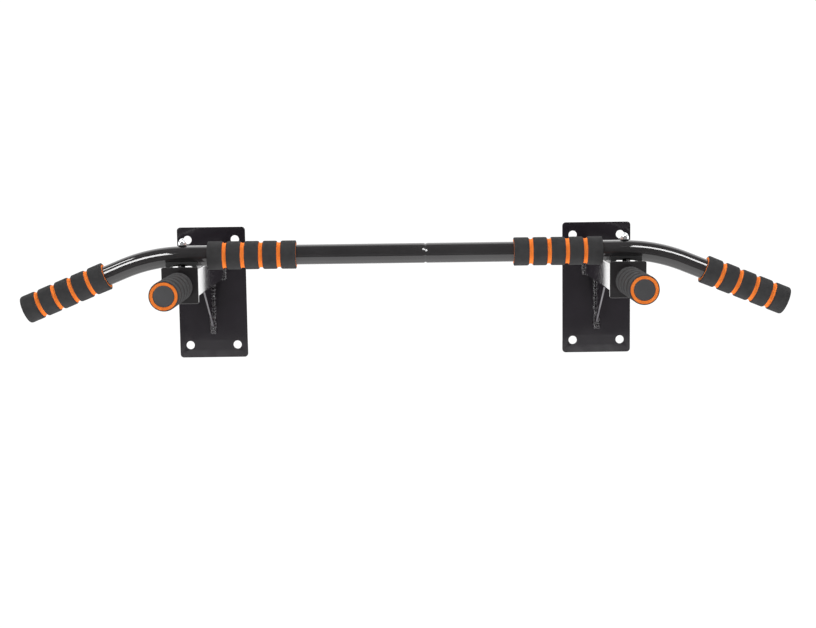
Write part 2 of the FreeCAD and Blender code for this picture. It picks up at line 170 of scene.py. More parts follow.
def lathe(name, profile, place, steps=96, closed=True):
    # Turns a profile of (radius, height) round local Z.
    vertices, faces = [], []
    rows = len(profile)
    for step in range(steps):
        angle = 2 * math.pi * step / steps
        for radius, height in profile:
            across, up = radius * math.cos(angle), radius * math.sin(angle)
            vertices.append(place @ Vector((across, up, height)))
    for step in range(steps):
        ahead = (step + 1) % steps
        for row in range(rows if closed else rows - 1):
            nextRow = (row + 1) % rows
            here, there = step * rows, ahead * rows
            faces.append((here + row, there + row, there + nextRow, here + nextRow))
    return smoothed(cleaned(meshFrom(name, vertices, faces)))


def cleaned(mesh):
    # Drops the faces that shrink to nothing at a pole.
    shape = bmesh.new()
    shape.from_mesh(mesh)
    bmesh.ops.dissolve_degenerate(shape, edges=shape.edges, dist=1e-7)
    bmesh.ops.recalc_face_normals(shape, faces=shape.faces)
    shape.to_mesh(mesh)
    shape.free()
    return mesh


def arcPoints(centre, radius, start, stop, steps):
    angles = [math.radians(start + (stop - start) * step / steps) for step in range(steps + 1)]
    return [(centre[0] + radius * math.cos(a), centre[1] + radius * math.sin(a)) for a in angles]


# finishes

def newMaterial(name, roughness, metallic=0.0, specular=0.5, sheen=0.0):
    material = bpy.data.materials.new(name)
    material.use_nodes = True
    shader = material.node_tree.nodes["Principled BSDF"]
    shader.inputs["Roughness"].default_value = roughness
    shader.inputs["Metallic"].default_value = metallic
    shader.inputs["Specular IOR Level"].default_value = specular
    shader.inputs["Sheen Weight"].default_value = sheen
    shader.inputs["Sheen Roughness"].default_value = 0.6
    return material, shader


def noiseOn(material, scale, detail=3.0, stretch=(1, 1, 1)):
    # A noise that is fixed to the piece; scale is in cycles a metre.
    nodes, links = material.node_tree.nodes, material.node_tree.links
    where = nodes.new("ShaderNodeTexCoord")
    mapping = nodes.new("ShaderNodeMapping")
    mapping.inputs["Scale"].default_value = stretch
    pattern = nodes.new("ShaderNodeTexNoise")
    pattern.inputs["Scale"].default_value = scale
    pattern.inputs["Detail"].default_value = detail
    links.new(where.outputs["Object"], mapping.inputs["Vector"])
    links.new(mapping.outputs["Vector"], pattern.inputs["Vector"])
    return pattern.outputs["Fac"]


# a noise keeps near its middle, so its patterns are stretched from these values
narrow, wide = (0.35, 0.65), (0.3, 0.7)


def rampOn(material, source, spread, colours, target):
    # Spreads a pattern between two colours.
    nodes, links = material.node_tree.nodes, material.node_tree.links
    ramp = nodes.new("ShaderNodeValToRGB")
    for element, position, colour in zip(ramp.color_ramp.elements, spread, colours):
        element.position = position
        element.color = (*colour, 1)
    links.new(source, ramp.inputs["Fac"])
    links.new(ramp.outputs["Color"], target)


def rangeOn(material, source, low, high, target):
    nodes, links = material.node_tree.nodes, material.node_tree.links
    spread = nodes.new("ShaderNodeMapRange")
    spread.inputs["From Min"].default_value = wide[0]
    spread.inputs["From Max"].default_value = wide[1]
    spread.inputs["To Min"].default_value = low
    spread.inputs["To Max"].default_value = high
    links.new(source, spread.inputs["Value"])
    links.new(spread.outputs["Result"], target)


def bumpOn(material, shader, sources):
    # Stacks bumps; each source is a height, its strength and its depth in metres.
    nodes, links = material.node_tree.nodes, material.node_tree.links
    last = None
    for height, strength, depth in sources:
        bump = nodes.new("ShaderNodeBump")
        bump.inputs["Strength"].default_value = strength
        bump.inputs["Distance"].default_value = depth
        links.new(height, bump.inputs["Height"])
        if last:
            links.new(last, bump.inputs["Normal"])
        last = bump.outputs["Normal"]
    links.new(last, shader.inputs["Normal"])


paintLooks = {
    "bar": ((0.0238, 0.0222, 0.0232), (0.0298, 0.0278, 0.0290)),
    "bracket": ((0.0147, 0.0122, 0.0157), (0.0192, 0.0160, 0.0205)),
    # a pale paint for the gusset's cut sloping edge: a painted highlight
    "edgeHighlight": ((0.085, 0.080, 0.088), (0.150, 0.142, 0.155)),
    "barGloss": (0.035, 0.075),
    "plateGloss": (0.05, 0.09),
    "bracketGloss": (0.07, 0.10),
    "weldGloss": (0.15, 0.22),
    "cloudScale": 18,
    "handlingScale": 60,
    "peelScale": 260,
    "peelStrength": 0.12,
    "peelDepth": 0.00001,
}


def makePaint(name, colour, gloss):
    # Gloss paint: slight clouds of colour, gloss that varies with handling, and orange peel.
    low, high = paintLooks[gloss]
    material, shader = newMaterial(name, (low + high) / 2)
    clouds = noiseOn(material, paintLooks["cloudScale"], 4)
    rampOn(material, clouds, narrow, paintLooks[colour], shader.inputs["Base Color"])
    handling = noiseOn(material, paintLooks["handlingScale"], 5)
    rangeOn(material, handling, low, high, shader.inputs["Roughness"])
    peel = noiseOn(material, paintLooks["peelScale"], 2)
    bumpOn(material, shader, [(peel, paintLooks["peelStrength"], paintLooks["peelDepth"])])
    return material


foamLooks = {
    "charcoal": ((0.043, 0.0425, 0.0435), (0.053, 0.0525, 0.0535)),
    "orange": ((0.84, 0.195, 0.032), (0.95, 0.250, 0.048)),
    "roughness": 0.9,
    "specular": 0.02,
    "sheen": 0.01,
    "mottleScale": 90,
    "cellScale": 1500,
    "cellStrength": 0.5,
    "cellDepth": 0.0002,
    "wrinkleScale": 240,
    "wrinkleStrength": {"charcoal": 0.25, "orange": 0.08},
    "wrinkleDepth": 0.0006,
}


def makeFoam(name, colour, looks):
    # Closed-cell foam: tiny cells over a soft mottle.
    material, shader = newMaterial(
        name, looks["roughness"], specular=looks["specular"], sheen=looks["sheen"]
    )
    mottle = noiseOn(material, looks["mottleScale"], 6)
    rampOn(material, mottle, wide, looks[colour], shader.inputs["Base Color"])
    nodes, links = material.node_tree.nodes, material.node_tree.links
    where = nodes.new("ShaderNodeTexCoord")
    cells = nodes.new("ShaderNodeTexVoronoi")
    cells.inputs["Scale"].default_value = looks["cellScale"]
    links.new(where.outputs["Object"], cells.inputs["Vector"])
    wrinkles = noiseOn(material, looks["wrinkleScale"], 4)
    coarse = (wrinkles, looks["wrinkleStrength"][colour], looks["wrinkleDepth"])
    fine = (cells.outputs["Distance"], looks["cellStrength"], looks["cellDepth"])
    bumpOn(material, shader, [coarse, fine])
    return material


plasticLooks = {
    "plug": ((0.031, 0.0305, 0.033), 0.55),
    "saddle": ((0.007, 0.007, 0.0075), 0.42),
    "lift": 1.35,  # the lighter patches, as a multiple of the colour
    "mottleScale": 40,
    "grainScale": 900,
    "grainStrength": 0.2,
    "grainDepth": 0.0001,
}


def makePlastic(name, kind, looks):
    colour, roughness = looks[kind]
    material, shader = newMaterial(name, roughness)
    grain = noiseOn(material, looks["grainScale"], 3)
    shades = (colour, tuple(channel * looks["lift"] for channel in colour))
    mottle = noiseOn(material, looks["mottleScale"], 3)
    rampOn(material, mottle, narrow, shades, shader.inputs["Base Color"])
    bumpOn(material, shader, [(grain, looks["grainStrength"], looks["grainDepth"])])
    return material


# each metal's two shades, its roughness and how far its grain is drawn out
metalLooks = {
    "zinc": (((0.62, 0.63, 0.65), (0.80, 0.81, 0.82)), (0.20, 0.34), (1, 1, 1)),
    "black": (((0.05, 0.05, 0.052), (0.09, 0.09, 0.092)), (0.3, 0.45), (1, 1, 1)),
    "bare": (((0.40, 0.40, 0.41), (0.52, 0.52, 0.53)), (0.28, 0.42), (0.1, 1, 1)),
    "shadeScale": 500,
    "polishScale": 700,
    "grainScale": 900,
    "grainStrength": 0.15,
    "grainDepth": 0.00004,
}


def makeMetal(name, kind, looks):
    shades, (low, high), stretch = looks[kind]
    material, shader = newMaterial(name, (low + high) / 2, metallic=1.0)
    patches = noiseOn(material, looks["shadeScale"], 4)
    rampOn(material, patches, narrow, shades, shader.inputs["Base Color"])
    polish = noiseOn(material, looks["polishScale"], 4, stretch)
    rangeOn(material, polish, low, high, shader.inputs["Roughness"])
    grain = noiseOn(material, looks["grainScale"], 3, stretch)
    bumpOn(material, shader, [(grain, looks["grainStrength"], looks["grainDepth"])])
    return material


barPaint = makePaint("barPaint", "bar", "barGloss")
bracketPaint = makePaint("bracketPaint", "bracket", "bracketGloss")
weldPaint = makePaint("weldPaint", "bracket", "weldGloss")
platePaint = makePaint("platePaint", "bracket", "plateGloss")
# a painted highlight: the pale paint on the gusset's cut sloping edge
edgeHighlightPaint = makePaint("edgeHighlightPaint", "edgeHighlight", "bracketGloss")
charcoalFoam = makeFoam("charcoalFoam", "charcoal", foamLooks)
orangeFoam = makeFoam("orangeFoam", "orange", foamLooks)
plugPlastic = makePlastic("plugPlastic", "plug", plasticLooks)
saddlePlastic = makePlastic("saddlePlastic", "saddle", plasticLooks)
brightZinc = makeMetal("brightZinc", "zinc", metalLooks)
blackSteel = makeMetal("blackSteel", "black", metalLooks)
bareSteel = makeMetal("bareSteel", "bare", metalLooks)
print("finishes made")


# wall plates

plateLooks = {"corner": 5.5 * mm, "edge": 0.7 * mm, "holeSteps": 48}

for side, sign in sides:
    node = f"{side}_wall_plate"
    centre, extent = middle(node), size(node)
    dims = mounts[f"{side}_plate_holes"]["dims"]
    halfWide, halfHigh = extent.x / 2, extent.z / 2
    corners = [(-halfWide, -halfHigh), (halfWide, -halfHigh)]
    corners += [(halfWide, halfHigh), (-halfWide, halfHigh)]
    outlines = [roundedOutline(corners, plateLooks["corner"])]
    for across in (-1, 1):
        for up in (-1, 1):
            hole = (across * dims["spacing_x_mm"] * mm / 2, up * dims["spacing_y_mm"] * mm / 2)
            outlines.append(circleOutline(hole, dims["hole_r_mm"] * mm, plateLooks["holeSteps"]))
    upright = Matrix.Translation(centre) @ Matrix.Rotation(math.radians(90), 4, "X")
    mesh = slab(f"wallPlate.{side}", outlines, extent.y, plateLooks["edge"], upright)
    piece = addObject(f"wallPlate.{side}", mesh, platePaint)
    evenShade(piece)
    standFor(piece, "black_paint", node)
print("wall plates made")


# arms with their end plates and gussets

armLooks = {
    "corner": 2.6 * mm,
    "wall": 2 * mm,
    "edge": 0.25 * mm,
    "endCorner": 2.4 * mm,
    "endEdge": 0.75 * mm,
}
gussetLooks = {"toe": 4 * mm, "corner": 1.2 * mm, "edge": 0.5 * mm}


def square(half):
    return [(-half, -half), (half, -half), (half, half), (-half, half)]


def makeArm(side):
    node = f"{side}_arm_tube"
    centre, extent = middle(node), size(node)
    half = extent.x / 2
    outer = roundedOutline(square(half), armLooks["corner"])
    inner = roundedOutline(square(half - armLooks["wall"]), armLooks["corner"] - armLooks["wall"] / 2)
    upright = Matrix.Translation(centre) @ Matrix.Rotation(math.radians(90), 4, "X")
    mesh = slab(f"arm.{side}", [outer, inner], extent.y, armLooks["edge"], upright)
    piece = addObject(f"arm.{side}", mesh, bracketPaint)
    evenShade(piece)
    standFor(piece, "black_paint", node)


def makeEndPlate(side):
    node = f"{side}_end_plate"
    centre, extent = middle(node), size(node)
    outline = roundedOutline(square(extent.x / 2), armLooks["endCorner"])
    upright = Matrix.Translation(centre) @ Matrix.Rotation(math.radians(90), 4, "X")
    mesh = slab(f"endPlate.{side}", [outline], extent.y, armLooks["endEdge"], upright)
    piece = addObject(f"endPlate.{side}", mesh, barPaint)
    evenShade(piece)
    standFor(piece, "black_paint", node)


def makeGusset(side):
    node = f"{side}_gusset"
    low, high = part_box(node)
    toe = gussetLooks["toe"]
    corners = [(low.y, high.z), (low.y, high.z - toe), (high.y - toe, low.z)]
    corners += [(high.y, low.z), (high.y, high.z)]
    outline = roundedOutline(corners, gussetLooks["corner"])
    sideways = Matrix(((0, 0, 1, (low.x + high.x) / 2), (1, 0, 0, 0), (0, 1, 0, 0), (0, 0, 0, 1)))
    mesh = slab(f"gusset.{side}", [outline], high.x - low.x, gussetLooks["edge"], sideways)
    piece = addObject(f"gusset.{side}", mesh, bracketPaint)
    mesh.materials.append(edgeHighlightPaint)
    slope = Vector((0, low.z - high.z + toe, low.y - high.y + toe)).normalized()
    # the cut sloping edge gets a pale paint, a painted highlight along it
    for face in mesh.polygons:
        if face.normal.dot(slope) > 0.97:
            face.material_index = 1
    evenShade(piece)
    standFor(piece, "black_paint", node)


for side, sign in sides:
    makeArm(side)
    makeEndPlate(side)
    makeGusset(side)
print("arms, end plates and gussets made")


# weld beads: a row of overlapping pools laid along a path by Geometry Nodes

weldLooks = {
    "pitch": 3.0 * mm,
    "pool": 4.3 * mm,
    "frontPool": 1.9 * mm,
    "rootPool": 2.6 * mm,
    "smallest": 0.84,
    "largest": 1.12,
    "flat": 0.62,
    "wander": 0.8 * mm,
    "inset": 0.4 * mm,
    "tail": 9 * mm,
    "seed": 7,
    "grain": 0.55 * mm,
    "rootDepth": 3.4 * mm,  # how far into the plate a bead may reach
}


def weldTree():
    tree = bpy.data.node_groups.new("weldBead", "GeometryNodeTree")
    tree.is_modifier = True
    face = tree.interface
    face.new_socket("Geometry", in_out="INPUT", socket_type="NodeSocketGeometry")
    for label in ("Pitch", "Pool", "Flat", "Wander"):
        face.new_socket(label, in_out="INPUT", socket_type="NodeSocketFloat")
    face.new_socket("Seed", in_out="INPUT", socket_type="NodeSocketInt")
    face.new_socket("Finish", in_out="INPUT", socket_type="NodeSocketMaterial")
    face.new_socket("Geometry", in_out="OUTPUT", socket_type="NodeSocketGeometry")
    nodes, links = tree.nodes, tree.links
    given = nodes.new("NodeGroupInput")
    made = nodes.new("NodeGroupOutput")
    asCurve = nodes.new("GeometryNodeMeshToCurve")
    spaced = nodes.new("GeometryNodeResampleCurve")
    spaced.mode = "LENGTH"
    tangent = nodes.new("GeometryNodeInputTangent")
    turn = nodes.new("FunctionNodeAlignRotationToVector")
    turn.axis = "Z"
    pool = nodes.new("GeometryNodeMeshIcoSphere")
    pool.inputs["Subdivisions"].default_value = 3
    shrink = nodes.new("ShaderNodeCombineXYZ")
    shrink.inputs["X"].default_value = 1
    shrink.inputs["Y"].default_value = 1
    flatten = nodes.new("GeometryNodeTransform")
    vary = nodes.new("FunctionNodeRandomValue")
    vary.data_type = "FLOAT"
    vary.inputs[2].default_value = weldLooks["smallest"]
    vary.inputs[3].default_value = weldLooks["largest"]
    drift = nodes.new("FunctionNodeRandomValue")
    drift.data_type = "FLOAT_VECTOR"
    drift.inputs[0].default_value = (-1, -1, -1)
    drift.inputs[1].default_value = (1, 1, 1)
    reach = nodes.new("ShaderNodeVectorMath")
    reach.operation = "SCALE"
    shift = nodes.new("GeometryNodeSetPosition")
    place = nodes.new("GeometryNodeInstanceOnPoints")
    soft = nodes.new("GeometryNodeSetShadeSmooth")
    real = nodes.new("GeometryNodeRealizeInstances")
    finish = nodes.new("GeometryNodeSetMaterial")
    links.new(given.outputs["Geometry"], asCurve.inputs["Mesh"])
    links.new(asCurve.outputs["Curve"], spaced.inputs["Curve"])
    links.new(given.outputs["Pitch"], spaced.inputs["Length"])
    links.new(spaced.outputs["Curve"], shift.inputs["Geometry"])
    links.new(given.outputs["Seed"], drift.inputs["Seed"])
    links.new(drift.outputs[0], reach.inputs[0])
    links.new(given.outputs["Wander"], reach.inputs["Scale"])
    links.new(reach.outputs["Vector"], shift.inputs["Offset"])
    links.new(shift.outputs["Geometry"], place.inputs["Points"])
    links.new(given.outputs["Pool"], pool.inputs["Radius"])
    links.new(given.outputs["Flat"], shrink.inputs["Z"])
    links.new(pool.outputs["Mesh"], flatten.inputs["Geometry"])
    links.new(shrink.outputs["Vector"], flatten.inputs["Scale"])
    links.new(flatten.outputs["Geometry"], place.inputs["Instance"])
    links.new(tangent.outputs["Tangent"], turn.inputs["Vector"])
    links.new(turn.outputs["Rotation"], place.inputs["Rotation"])
    links.new(given.outputs["Seed"], vary.inputs["Seed"])
    links.new(vary.outputs[1], place.inputs["Scale"])
    links.new(place.outputs["Instances"], real.inputs["Geometry"])
    links.new(real.outputs["Geometry"], soft.inputs["Geometry"])
    links.new(soft.outputs["Geometry"], finish.inputs["Geometry"])
    links.new(given.outputs["Finish"], finish.inputs["Material"])
    links.new(finish.outputs["Geometry"], made.inputs["Geometry"])
    return tree


weldNodes = weldTree()
weldSockets = {
    item.name: item.identifier for item in weldNodes.interface.items_tree if item.in_out == "INPUT"
}


def makeWeld(name, paths, seed, pool=None):
    # Lays a bead along each path of points and joins them in one piece.
    vertices, edges = [], []
    for path in paths:
        first = len(vertices)
        vertices += [tuple(point) for point in path]
        edges += [(first + step, first + step + 1) for step in range(len(path) - 1)]
    mesh = bpy.data.meshes.new(name)
    mesh.from_pydata(vertices, edges, [])
    piece = bpy.data.objects.new(name, mesh)
    scene.collection.objects.link(piece)
    modifier = piece.modifiers.new("bead", "NODES")
    modifier.node_group = weldNodes
    modifier[weldSockets["Pitch"]] = weldLooks["pitch"]
    modifier[weldSockets["Pool"]] = pool or weldLooks["pool"]
    modifier[weldSockets["Flat"]] = weldLooks["flat"]
    modifier[weldSockets["Wander"]] = weldLooks["wander"]
    modifier[weldSockets["Seed"]] = weldLooks["seed"] + seed
    modifier[weldSockets["Finish"]] = weldPaint
    fuse = piece.modifiers.new("fuse", "REMESH")
    fuse.mode = "VOXEL"
    fuse.voxel_size = weldLooks["grain"]
    fuse.use_smooth_shade = True
    graph = bpy.context.evaluated_depsgraph_get()
    made = bpy.data.meshes.new_from_object(piece.evaluated_get(graph))
    made.name = name
    piece.modifiers.clear()
    piece.data = made
    made.materials.clear()
    made.materials.append(weldPaint)
    for vertex in made.vertices:
        vertex.co.y = min(vertex.co.y, -weldLooks["rootDepth"])
    return piece


def boxPath(centre, half, y):
    # A level loop round the arm at one depth.
    corners = [(-1, -1), (1, -1), (1, 1), (-1, 1), (-1, -1)]
    return [Vector((centre.x + across * half, y, centre.z + up * half)) for across, up in corners]


for number, (side, sign) in enumerate(sides):
    arm = middle(f"{side}_arm_tube")
    armLow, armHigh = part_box(f"{side}_arm_tube")
    half = (armHigh.x - armLow.x) / 2
    webLow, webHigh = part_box(f"{side}_gusset")
    inset = weldLooks["inset"]
    around = makeWeld(f"plateWeld.{side}", [boxPath(arm, half + inset, armHigh.y - inset)], number)
    standFor(around, "black_paint", f"{side}_plate_weld")
    frontPath = boxPath(arm, half, armLow.y + inset)
    front = makeWeld(f"frontWeld.{side}", [frontPath], number + 2, weldLooks["frontPool"])
    standFor(front, "black_paint", f"{side}_front_weld")
    beads = []
    depth = webHigh.y - inset
    tail = webLow.z - weldLooks["tail"]
    for flank in (webLow.x - inset, webHigh.x + inset):
        beads.append([Vector((flank, depth, tail)), Vector((flank, depth, webHigh.z - 3 * mm))])
        under = webHigh.z - inset
        start, stop = webLow.y + 3 * mm, webHigh.y - 4 * mm
        beads.append([Vector((flank, start, under)), Vector((flank, stop, under))])
    for drop in (2 * mm, weldLooks["tail"] - 1 * mm):
        foot = [Vector((x, depth, webLow.z - drop)) for x in (webLow.x - 1.5 * mm, webHigh.x + 1.5 * mm)]
        beads.append(foot)
    web = makeWeld(f"gussetWelds.{side}", beads, number + 4)
    standFor(web, "black_paint", f"{side}_gusset_welds")
    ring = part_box(f"{side}_handle_weld")
    radius = size(f"{side}_handle_tube").x / 2
    centre = middle(f"{side}_handle_tube")
    turns = [2 * math.pi * step / 48 for step in range(49)]
    around = [(centre.x + radius * math.cos(a), centre.z + radius * math.sin(a)) for a in turns]
    loop = [Vector((x, ring[1].y - inset, z)) for x, z in around]
    root = makeWeld(f"handleWeld.{side}", [loop], number + 6, weldLooks["rootPool"])
    standFor(root, "black_paint", f"{side}_handle_weld")
print("weld beads laid")


# handles: tube, collar and plug

handleLooks = {
    "wall": 1.8 * mm,
    "tubeEdge": 0.4 * mm,
    "collarEdge": 1.0 * mm,
    "grooveDepth": 1.2 * mm,
    "grooveHalf": 1.5 * mm,
    "grooveFloor": 0.5 * mm,  # half the width of the groove's flat bottom
    "plugFlange": 2.5 * mm,
    "plugEdge": 0.7 * mm,
    "plugDome": 0.5 * mm,
}
forward = (0, -1, 0)


def tubeProfile(outer, inner, low, high, edge):
    bottom = [(inner, low), (outer - edge, low), (outer, low + edge)]
    return bottom + [(outer, high - edge), (outer - edge, high), (inner, high)]


def plugProfile(length, flange, bore, rim, dome):
    # An end plug: a body in the bore, a flange with a round edge and a slightly domed face.
    seat = length - flange
    edge = handleLooks["plugEdge"]
    rows = [(0, 0), (bore, 0), (bore, seat), (rim, seat), (rim, length - edge)]
    rows += arcPoints((rim - edge, length - edge), edge, 20, 90, 4)
    rows += [(rim * part, length - dome * part * part * 0.4) for part in (0.8, 0.6, 0.4, 0.2)]
    rows += [(0, length)]
    return rows


def makeHandle(side):
    low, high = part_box(f"{side}_handle_tube")
    centre = (low + high) / 2
    radius = (high.x - low.x) / 2
    bore = radius - handleLooks["wall"]
    start = Vector((centre.x, high.y, centre.z))
    place = facing(forward, start)
    profile = tubeProfile(radius, bore, 0, high.y - low.y, handleLooks["tubeEdge"])
    tube = lathe(f"handleTube.{side}", profile, place)
    standFor(addObject(f"handleTube.{side}", tube, bracketPaint), "black_paint", f"{side}_handle_tube")
    collarLow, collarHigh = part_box(f"{side}_handle_collar")
    near, far = high.y - collarHigh.y, high.y - collarLow.y
    rim = (collarHigh.x - collarLow.x) / 2
    edge, waist = handleLooks["collarEdge"], (near + far) / 2
    lip, floor = handleLooks["grooveHalf"], handleLooks["grooveFloor"]
    sunk = rim - handleLooks["grooveDepth"]
    profile = [(radius, near), (rim - edge, near)]
    profile += arcPoints((rim - edge, near + edge), edge, -90, 0, 4)
    profile += [(rim, waist - lip), (sunk, waist - floor), (sunk, waist + floor), (rim, waist + lip)]
    profile += arcPoints((rim - edge, far - edge), edge, 0, 90, 4)
    profile += [(radius, far)]
    collar = lathe(f"collar.{side}", profile, place)
    standFor(addObject(f"collar.{side}", collar, bracketPaint), "black_paint", f"{side}_handle_collar")
    plugLow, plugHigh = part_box(f"{side}_handle_plug")
    plugPlace = facing(forward, Vector((centre.x, plugHigh.y, centre.z)))
    rim = (plugHigh.x - plugLow.x) / 2
    length, flange, dome = plugHigh.y - plugLow.y, handleLooks["plugFlange"], handleLooks["plugDome"]
    profile = plugProfile(length, flange, bore, rim, dome)
    plug = lathe(f"handlePlug.{side}", profile, plugPlace, closed=False)
    standFor(addObject(f"handlePlug.{side}", plug, plugPlastic), "black_plastic", f"{side}_handle_plug")


for side, sign in sides:
    makeHandle(side)
print("handles made")


# the bar: two bent tubes

barLooks = {
    "bend": math.radians(22.2),
    "bendRadius": 224 * mm,
    "wall": 1.8 * mm,
    "seamDrop": 1.0 * mm,
    "seamRun": 2.3 * mm,
    "plugFlange": 2.5 * mm,
    "plugLength": 16.5 * mm,
    "plugRim": 13.7 * mm,
    "plugDome": 0.5 * mm,
    "arcSteps": 40,
    "runStep": 12 * mm,
    "round": 96,
}
gripLength = size("right_bar_grip_skin").x
barAxis = middle("right_bar_grip_skin")
barRadius = size("right_bar").y / 2
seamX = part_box("right_bar")[0].x
outward = Vector((math.cos(barLooks["bend"]), 0, -math.sin(barLooks["bend"])))


def alongEnd(side):
    # How far the middle of the end grip is from the bend's corner.
    return (barAxis.z - middle(f"{side}_end_grip_skin").z) / math.sin(barLooks["bend"])


bendCorner = middle("right_end_grip_skin") - outward * alongEnd("right")


def barStations(seam, side):
    # Points and directions along one half, from the seam to the end, as if on the right.
    barEnd = alongEnd(side) + gripLength / 2 - barLooks["plugFlange"]
    setback = barLooks["bendRadius"] * math.tan(barLooks["bend"] / 2)
    bendStart = bendCorner - Vector((setback, 0, 0))
    stations = []
    run = bendStart.x - seam
    count = max(2, round(run / barLooks["runStep"]))
    for step in range(count):
        stations.append((Vector((seam + run * step / count, bendStart.y, bendStart.z)), 0.0))
    for step in range(barLooks["arcSteps"] + 1):
        angle = barLooks["bend"] * step / barLooks["arcSteps"]
        radius = barLooks["bendRadius"]
        travel = Vector((radius * math.sin(angle), 0, radius * (math.cos(angle) - 1)))
        stations.append((bendStart + travel, angle))
    bendEnd = stations[-1][0]
    left = barEnd - setback
    count = max(2, round(left / barLooks["runStep"]))
    for step in range(1, count + 1):
        stations.append((bendEnd + outward * left * step / count, barLooks["bend"]))
    return stations


def makeBar(side, sign):
    seam = seamX * sign
    stations = barStations(seam, side)
    edge, inner = barLooks["seamDrop"], barRadius - barLooks["wall"]
    start, direction = stations[0]
    bevel = (start + Vector((barLooks["seamRun"], 0, 0)), direction)
    rings = [(station, inner) for station in reversed(stations)]
    rings += [(stations[0], barRadius - edge), (bevel, barRadius)]
    rings += [(station, barRadius) for station in stations[1:]]
    vertices, faces = [], []
    steps = barLooks["round"]
    for (point, angle), radius in rings:
        up = Vector((math.sin(angle), 0, math.cos(angle)))
        for step in range(steps):
            turn = 2 * math.pi * step / steps
            aside = Vector((0, radius * math.cos(turn), 0))
            vertices.append(point + up * radius * math.sin(turn) + aside)
    count = len(rings)
    for ringIndex in range(count):
        following = (ringIndex + 1) % count
        for step in range(steps):
            ahead = (step + 1) % steps
            here, there = ringIndex * steps, following * steps
            faces.append((here + step, here + ahead, there + ahead, there + step))
    if sign < 0:
        vertices = [Vector((-v.x, v.y, v.z)) for v in vertices]
    mesh = smoothed(meshFrom(f"bar.{side}", vertices, faces), 40)
    standFor(addObject(f"bar.{side}", mesh, barPaint), "black_paint", f"{side}_bar")


def makeEndPlug(side, sign):
    away = Vector((outward.x * sign, 0, outward.z))
    corner = Vector((bendCorner.x * sign, bendCorner.y, bendCorner.z))
    inner = barRadius - barLooks["wall"]
    length = barLooks["plugLength"]
    base = corner + away * (alongEnd(side) + gripLength / 2 - length)
    flange, rim, dome = barLooks["plugFlange"], barLooks["plugRim"], barLooks["plugDome"]
    profile = plugProfile(length, flange, inner, rim, dome)
    plug = lathe(f"barEndPlug.{side}", profile, facing(away, base), closed=False)
    standFor(addObject(f"barEndPlug.{side}", plug, plugPlastic), "black_plastic", f"{side}_bar_end_plug")


for side, sign in sides:
    makeBar(side, sign)
    makeEndPlug(side, sign)
print("bar made")


# foam grips: an orange core that shows between charcoal bands

gripLooks = {
    "first": 20.9 * mm,
    "groove": 5.4 * mm,
    "pitch": 24.9 * mm,
    "grooves": 4,
    "shoulder": 2.4 * mm,
    "tip": 3.2 * mm,
    "waver": 0.12 * mm,
    "waverScale": 55,
    "steps": 128,
    "coreEdge": 0.6 * mm,
    "coreRadius": 18.1 * mm,
    "floor": 17.0 * mm,
    "lip": 0.9 * mm,
    "rim": 17.0 * mm,
    "flare": 1.3 * mm,
}


def bandProfile(outer, low, high, runs, rims):
    # One band's section: a soft shoulder at each end, longer than it is deep, and rows between
    core, flare = gripLooks["coreRadius"], gripLooks["flare"]
    steps, rows = 7, 6
    turns = [math.pi / 2 * step / steps for step in range(steps + 1)]
    rises = [outer - rim for rim in rims]
    profile = [
        (rims[0] + rises[0] * math.sin(a), low + runs[0] * (1 - math.cos(a))) for a in turns
    ]
    start, stop = low + runs[0], high - runs[1]
    profile += [(outer, start + (stop - start) * row / rows) for row in range(1, rows)]
    profile += [
        (rims[1] + rises[1] * math.cos(a), high - runs[1] * (1 - math.sin(a))) for a in turns
    ]
    if rims[1] < core:
        profile.append((core, high - flare))
    if rims[0] < core:
        profile.append((core, low + flare))
    return profile


def coreProfile(radius, length, rims):
    # The orange sleeve: round-bottomed grooves where it shows between the bands
    outer, floor, flare = gripLooks["coreRadius"], gripLooks["floor"], gripLooks["flare"]
    profile = [(radius, 0), (rims[0], 0), (outer, flare)]
    steps = 10
    for number in range(gripLooks["grooves"]):
        groove = gripLooks["first"] + number * gripLooks["pitch"]
        for part in range(steps + 1):
            across = part / steps
            sink = (outer - floor) * math.sin(math.pi * across) ** 0.5
            profile.append((outer - sink, groove + gripLooks["groove"] * across))
    if rims[1] < outer:
        profile.append((outer, length - flare))
    else:
        edge = gripLooks["coreEdge"]
        profile += arcPoints((outer - edge, length - edge), edge, 0, 90, 4)
        return profile + [(radius, length)]
    return profile + [(rims[1], length), (radius, length)]


def waver(mesh, place, amount, scale):
    # Soft foam is never quite round: each point moves a little out from the grip's axis.
    axis = place.to_3x3() @ Vector((0, 0, 1))
    origin = place.translation
    for vertex in mesh.vertices:
        offset = vertex.co - origin
        radial = offset - axis * offset.dot(axis)
        if radial.length > 1e-6:
            vertex.co += radial.normalized() * amount * (noise.noise(vertex.co * scale) - 0.3)


